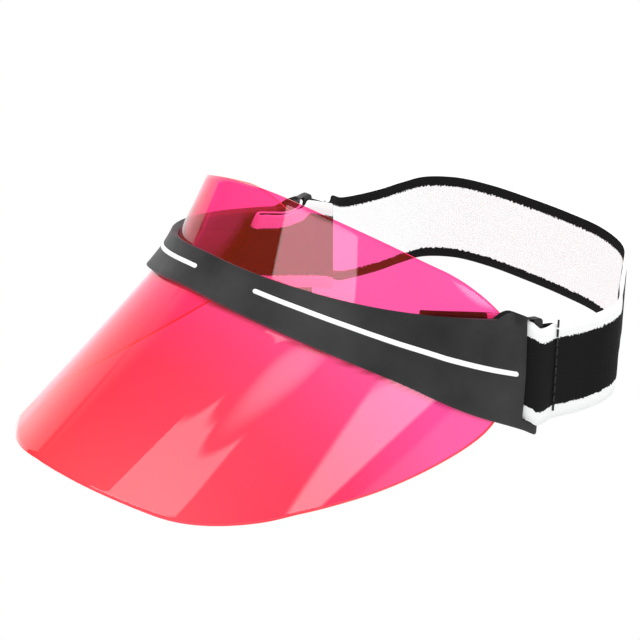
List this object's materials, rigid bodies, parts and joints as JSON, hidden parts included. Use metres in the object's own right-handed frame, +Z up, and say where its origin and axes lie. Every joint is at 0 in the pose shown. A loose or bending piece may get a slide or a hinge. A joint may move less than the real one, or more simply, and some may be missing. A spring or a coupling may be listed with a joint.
{
  "type": "sun visor",
  "caption": "Open-topped sun visor: a bent tinted transparent plate glued in a rubber headband with inlaid white stripes and a sewn elastic strap behind.",
  "frame": {"origin": "middle of the footprint's bounding box, on the table on which the visor lies", "axes": "+Z up from the table, -Y forward along the brim, X across the head with 0 between the sides of the footprint"},
  "size_m": [0.1426, 0.2384, 0.0886],
  "materials": {
    "tinted_plate": "glossy transparent tinted plastic sheet",
    "band_rubber": "matt moulded",
    "white_stripe": "satin inlay",
    "adhesive": "satin",
    "elastic_black": "knitted elastic webbing",
    "thread": "spun sewing thread"
  },
  "bodies": {
    "visor": {"visor_plate": "tinted_plate", "headband": "band_rubber", "stripe_right": "white_stripe", "stripe_left": "white_stripe", "adhesive_strip": "adhesive", "strap_side_right": "elastic_black", "strap_side_left": "elastic_black", "folded_end_right": "elastic_black", "folded_end_left": "elastic_black", "seam_right": "thread", "seam_left": "thread"},
    "strap_rear": {"strap_rear": "elastic_black"}
  },
  "joints": [
    {"name": "strap_stretch", "type": "slide", "parent": "visor", "child": "strap_rear", "axis": [0, 1, 0], "range_m": [0, 0.04], "stiffness_N_per_m": 250, "deforming": ["strap_side_right", "strap_side_left"]}
  ]
}
